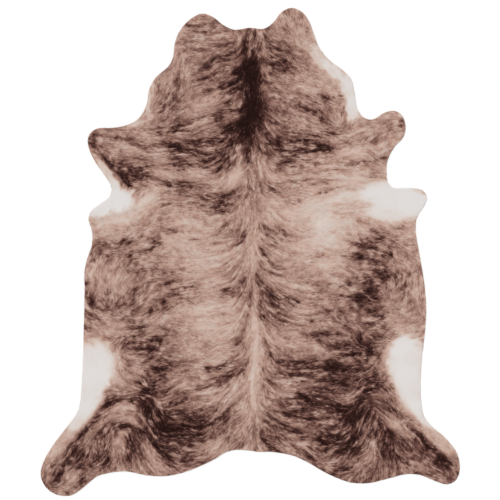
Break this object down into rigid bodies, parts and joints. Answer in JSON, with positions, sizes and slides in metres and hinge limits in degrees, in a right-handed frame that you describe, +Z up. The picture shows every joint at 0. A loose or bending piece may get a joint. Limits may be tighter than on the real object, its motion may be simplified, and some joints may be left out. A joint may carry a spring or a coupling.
{
  "type": "cowhide rug",
  "caption": "Whole cowhide with its hair on, laid flat as a rug: neck, stubs of the forelegs, flanks and spread hind legs, in a brown brindle coat with pale patches.",
  "frame": {"origin": "centre of the rug's box on the floor plane, under the middle of the hide", "axes": "+Y along the back to the neck, X across the back, +Z up out of the hair side"},
  "size_m": [1.8286, 2.13, 0.006],
  "materials": {
    "hide": "tanned skin with its short lying hair on, brown brindle with pale patches; pale suede flesh side"
  },
  "bodies": {
    "root": {"hide": "hide"}
  },
  "joints": []
}
